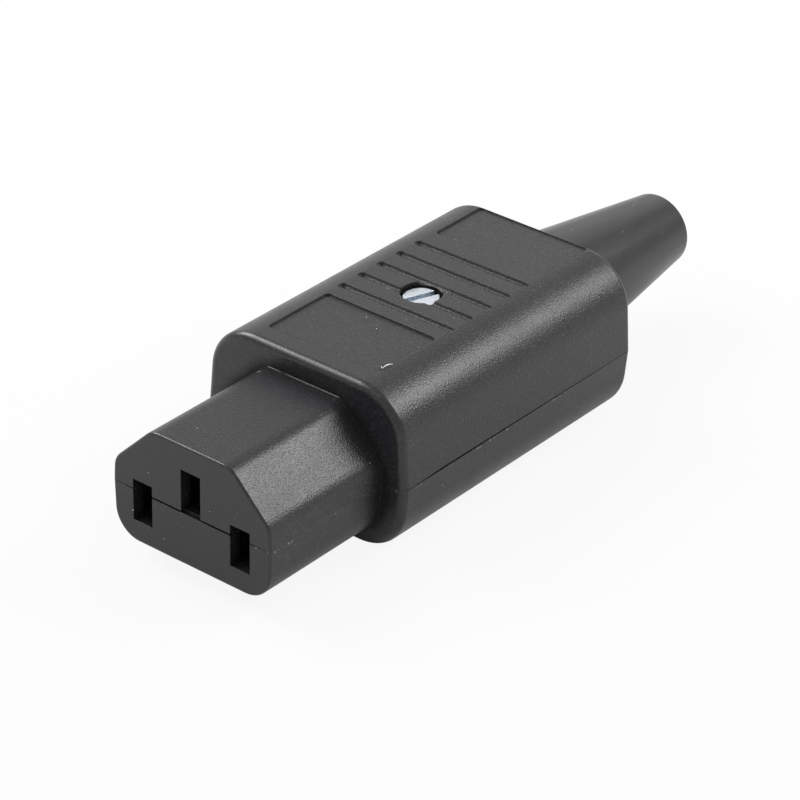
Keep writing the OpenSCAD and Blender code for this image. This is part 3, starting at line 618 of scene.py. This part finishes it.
def dustTree():
    # specks and fibres scattered over the outer skin, more of them on faces that look up
    tree, given = newTree("settled_dust", {
        "Specks": ("NodeSocketFloat", 1.0), "Speck Size": ("NodeSocketFloat", 0.001),
        "Fibres": ("NodeSocketFloat", 1.0), "Fibre Radius": ("NodeSocketFloat", 0.001),
        "Fibre Bend": ("NodeSocketFloat", 0.001), "Seed": ("NodeSocketInt", 0),
        "Material": ("NodeSocketMaterial", None),
    })
    given = given.outputs
    normal = addNode(tree, "GeometryNodeInputNormal")
    up = addNode(tree, "ShaderNodeSeparateXYZ", Vector=normal).outputs[2]
    up = addNode(tree, "ShaderNodeMath", dict(operation="MAXIMUM"), i0=up, i1=0.0)
    share = addNode(tree, "ShaderNodeMath", multiplyAdd, i0=up, i1=dust["onTop"],
                    i2=dust["anywhere"])

    def scatter(density, seed):
        density = addNode(tree, "ShaderNodeMath", multiply, i0=density, i1=share)
        spread = addNode(tree, "GeometryNodeDistributePointsOnFaces",
                         dict(distribute_method="RANDOM"), Mesh=given["Geometry"],
                         Density=density, Seed=seed)
        # a point inside the housing looks at another wall and is dropped
        away = addNode(tree, "ShaderNodeVectorMath", dict(operation="SCALE"),
                       i0=spread.outputs["Normal"], Scale=dust["rayStart"] * mm)
        place = addNode(tree, "GeometryNodeInputPosition")
        start = addNode(tree, "ShaderNodeVectorMath", add, i0=place, i1=away)
        ray = addNode(tree, "GeometryNodeRaycast", Target_Geometry=given["Geometry"],
                      Source_Position=start, Ray_Direction=spread.outputs["Normal"],
                      Ray_Length=dust["rayReach"] * mm)
        kept = addNode(tree, "GeometryNodeDeleteGeometry", dict(domain="POINT"), Geometry=spread,
                       Selection=ray.outputs["Is Hit"])
        return kept, spread.outputs["Rotation"]

    def spin(instances, seed):
        turn = addNode(tree, "FunctionNodeRandomValue", vectors, i0=(0, 0, 0),
                       i1=(0, 0, 2 * math.pi), Seed=seed)
        return addNode(tree, "GeometryNodeRotateInstances", Instances=instances, Rotation=turn)

    specks, lying = scatter(given["Specks"], given["Seed"])
    ball = addNode(tree, "GeometryNodeMeshIcoSphere", Radius=given["Speck Size"], Subdivisions=1)
    size = addNode(tree, "FunctionNodeRandomValue", vectors, i0=dust["flattest"],
                   i1=dust["fullest"], Seed=given["Seed"])
    speckSet = addNode(tree, "GeometryNodeInstanceOnPoints", Points=specks, Instance=ball,
                       Rotation=lying, Scale=size)
    otherSeed = addNode(tree, "ShaderNodeMath", add, i0=given["Seed"], i1=dust["fibreSeed"])
    fibres, lying = scatter(given["Fibres"], otherSeed)
    curl = addNode(tree, "GeometryNodeCurveArc", Resolution=dust["fibreSteps"],
                   Radius=given["Fibre Bend"], Sweep_Angle=math.radians(dust["fibreSweep"]))
    circle = addNode(tree, "GeometryNodeCurvePrimitiveCircle", Resolution=dust["fibreSides"],
                     Radius=given["Fibre Radius"])
    thread = addNode(tree, "GeometryNodeCurveToMesh", Curve=curl, Profile_Curve=circle,
                     Fill_Caps=True)
    length = addNode(tree, "FunctionNodeRandomValue", dict(data_type="FLOAT"),
                     i2=dust["fibreLength"][0], i3=dust["fibreLength"][1], Seed=otherSeed)
    fibreSet = addNode(tree, "GeometryNodeInstanceOnPoints", Points=fibres, Instance=thread,
                       Rotation=lying, Scale=length.outputs[1])
    both = addNode(tree, "GeometryNodeJoinGeometry")
    for instances in (speckSet, fibreSet):
        tree.links.new(spin(instances, otherSeed).outputs[0], both.inputs[0])
    closeTree(tree, both, given["Material"])
    return tree


def outerSkin(names):
    # one merged copy of the moulded pieces
    work = bmesh.new()
    for name in names:
        work.from_mesh(nodes[name].data)
    bmesh.ops.remove_doubles(work, verts=work.verts, dist=tiny)
    mesh = bpy.data.meshes.new("outer_skin")
    work.to_mesh(mesh)
    work.free()
    return mesh


strandShape = dict(rings=5, sides=6, thinnest=0.35, bow=0.12)   # counts, shares


def strand(work, start, end, thick):
    # a short frayed thread, thickest in its middle
    start, end = Vector(start) * mm, Vector(end) * mm
    along = end - start
    across = along.to_track_quat("Z", "Y").to_matrix().to_4x4()
    sides = strandShape["sides"]
    angles = [2 * math.pi * k / sides for k in range(sides)]
    rings = []
    for i in range(strandShape["rings"]):
        t = i / (strandShape["rings"] - 1)
        swell = math.sin(math.pi * t)
        girth = thick * mm * (strandShape["thinnest"] + (1 - strandShape["thinnest"]) * swell)
        bow = Vector((0, 0, 1)) * strandShape["bow"] * along.length * swell
        turn = Matrix.Translation(start + along * t + bow) @ across
        rings.append([work.verts.new(turn @ Vector((girth * math.cos(a), girth * math.sin(a), 0)))
                      for a in angles])
    for low, high in zip(rings, rings[1:]):
        for k in range(sides):
            after = (k + 1) % sides
            work.faces.new((low[k], low[after], high[after], high[k]))
    work.faces.new(reversed(rings[0]))
    work.faces.new(rings[-1])


def makeDust():
    skin = outerSkin(["upper_shell", "lower_shell", "bend_sleeve"])
    loose = runTree(dustTree(), skin, {
        "Specks": dust["specks"], "Speck Size": dust["speckSize"] * mm,
        "Fibres": dust["fibres"], "Fibre Radius": dust["fibreRadius"] * mm,
        "Fibre Bend": dust["fibreBend"] * mm, "Seed": dust["seed"],
        "Material": lintWhite}, "settled_dust")
    bpy.data.meshes.remove(skin)
    work = bmesh.new()
    for one in lint.values():
        strand(work, one["start"], one["end"], one["thick"])
    bmesh.ops.recalc_face_normals(work, faces=work.faces)
    caught = bpy.data.meshes.new("caught_lint")
    work.to_mesh(caught)
    work.free()
    for name, mesh in (("settled_dust", loose), ("caught_lint", caught)):
        mesh.materials.clear()
        mesh.materials.append(lintWhite)
        piece = addObject(name, mesh)
        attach(piece, "root")
    print("dust made:", len(loose.polygons), "faces")


makeDust()


room = dict(floor="#cccccc", whiteSeen=0.9, whiteMirrored=0.28, reach=4.0, air=0.62)


def makeFloor():
    low = cadBox[0].z
    half = room["reach"]
    corners = [(-half, -half, low), (half, -half, low), (half, half, low), (-half, half, low)]
    mesh = bpy.data.meshes.new("studio_floor")
    mesh.from_pydata(corners, [], [(0, 1, 2, 3)])
    floor = addObject("studio_floor", mesh)
    material, tree = newMaterial("white_studio_sweep")
    # the camera sees it nearly white and gloss sees part of that; both keep the shadow
    path = addNode(tree, "ShaderNodeLightPath").outputs
    share = addNode(tree, "ShaderNodeMath", multiply, i0=path["Is Camera Ray"],
                    i1=room["whiteSeen"])
    for ray in ("Is Glossy Ray", "Is Transmission Ray"):
        share = addNode(tree, "ShaderNodeMath", multiplyAdd, i0=path[ray],
                        i1=room["whiteMirrored"], i2=share)
    matt = addNode(tree, "ShaderNodeBsdfDiffuse", Color=linear(room["floor"]))
    glow = addNode(tree, "ShaderNodeEmission", Color=(1, 1, 1, 1), Strength=1.0)
    both = addNode(tree, "ShaderNodeMixShader", i0=share, i1=matt, i2=glow)
    addNode(tree, "ShaderNodeOutputMaterial", Surface=both)
    mesh.materials.append(material)


def makeWorld():
    # the same pale air for every ray
    world = bpy.data.worlds.new("studio_air")
    bpy.context.scene.world = world
    world.use_nodes = True
    tree = world.node_tree
    tree.nodes.clear()
    air = addNode(tree, "ShaderNodeBackground", Color=(1, 1, 1, 1), Strength=room["air"])
    addNode(tree, "ShaderNodeOutputWorld", Surface=air)


lamps = dict(
    # degrees round from +X and above the floor; metres; brightness of the lamp's face
    rightBack=dict(turn=48, height=40, size=0.3, bright=7.5),
    back=dict(turn=112, height=24, size=0.3, bright=0.4),
    leftBackLow=dict(turn=142.5, height=15, size=0.3, bright=0.3),
    left=dict(turn=187.5, height=42, size=0.3, bright=8.0),
    leftFront=dict(turn=213, height=48, size=0.3, bright=2.3),
)
lampAim = Vector((0, 0.04, 0))   # metres, near the middle of the part
lampAway = 0.6                   # metres


def makeLamps():
    for name, lamp in lamps.items():
        data = bpy.data.lights.new(name, "AREA")
        data.shape = "SQUARE"
        data.size = lamp["size"]
        data.energy = math.pi * lamp["size"] ** 2 * lamp["bright"]
        light = bpy.data.objects.new(name, data)
        turn, height = math.radians(lamp["turn"]), math.radians(lamp["height"])
        out = Vector((math.cos(turn) * math.cos(height), math.sin(turn) * math.cos(height),
                      math.sin(height)))
        light.location = lampAim + out * lampAway
        light.rotation_mode = "QUATERNION"
        light.rotation_quaternion = out.to_track_quat("Z", "Y")
        bpy.context.scene.collection.objects.link(light)


camera = dict(
    # degrees; mm; metres
    azimuth=38.45, elevation=30.55, roll=-1.48,
    lens=151.3, sensor=36,
    place=(0.20541, -0.22328, 0.19496), nearest=0.01, furthest=20,
)


def makeCamera():
    a, e, r = (math.radians(camera[k]) for k in ("azimuth", "elevation", "roll"))
    back = Vector((math.sin(a) * math.cos(e), -math.cos(a) * math.cos(e), math.sin(e)))
    right = Vector((math.cos(a), math.sin(a), 0))
    up = back.cross(right)
    across = right * math.cos(r) - up * math.sin(r)
    upward = right * math.sin(r) + up * math.cos(r)
    data = bpy.data.cameras.new("camera")
    data.lens = camera["lens"]
    data.sensor_width = camera["sensor"]
    data.clip_start = camera["nearest"]
    data.clip_end = camera["furthest"]
    thing = bpy.data.objects.new("camera", data)
    bpy.context.scene.collection.objects.link(thing)
    turn = Matrix((across, upward, back)).transposed().to_4x4()
    thing.matrix_world = Matrix.Translation(camera["place"]) @ turn
    bpy.context.scene.camera = thing


makeFloor()
makeWorld()
makeLamps()
makeCamera()
bpy.context.scene.view_settings.view_transform = "Standard"
print("room, lamps and camera made")
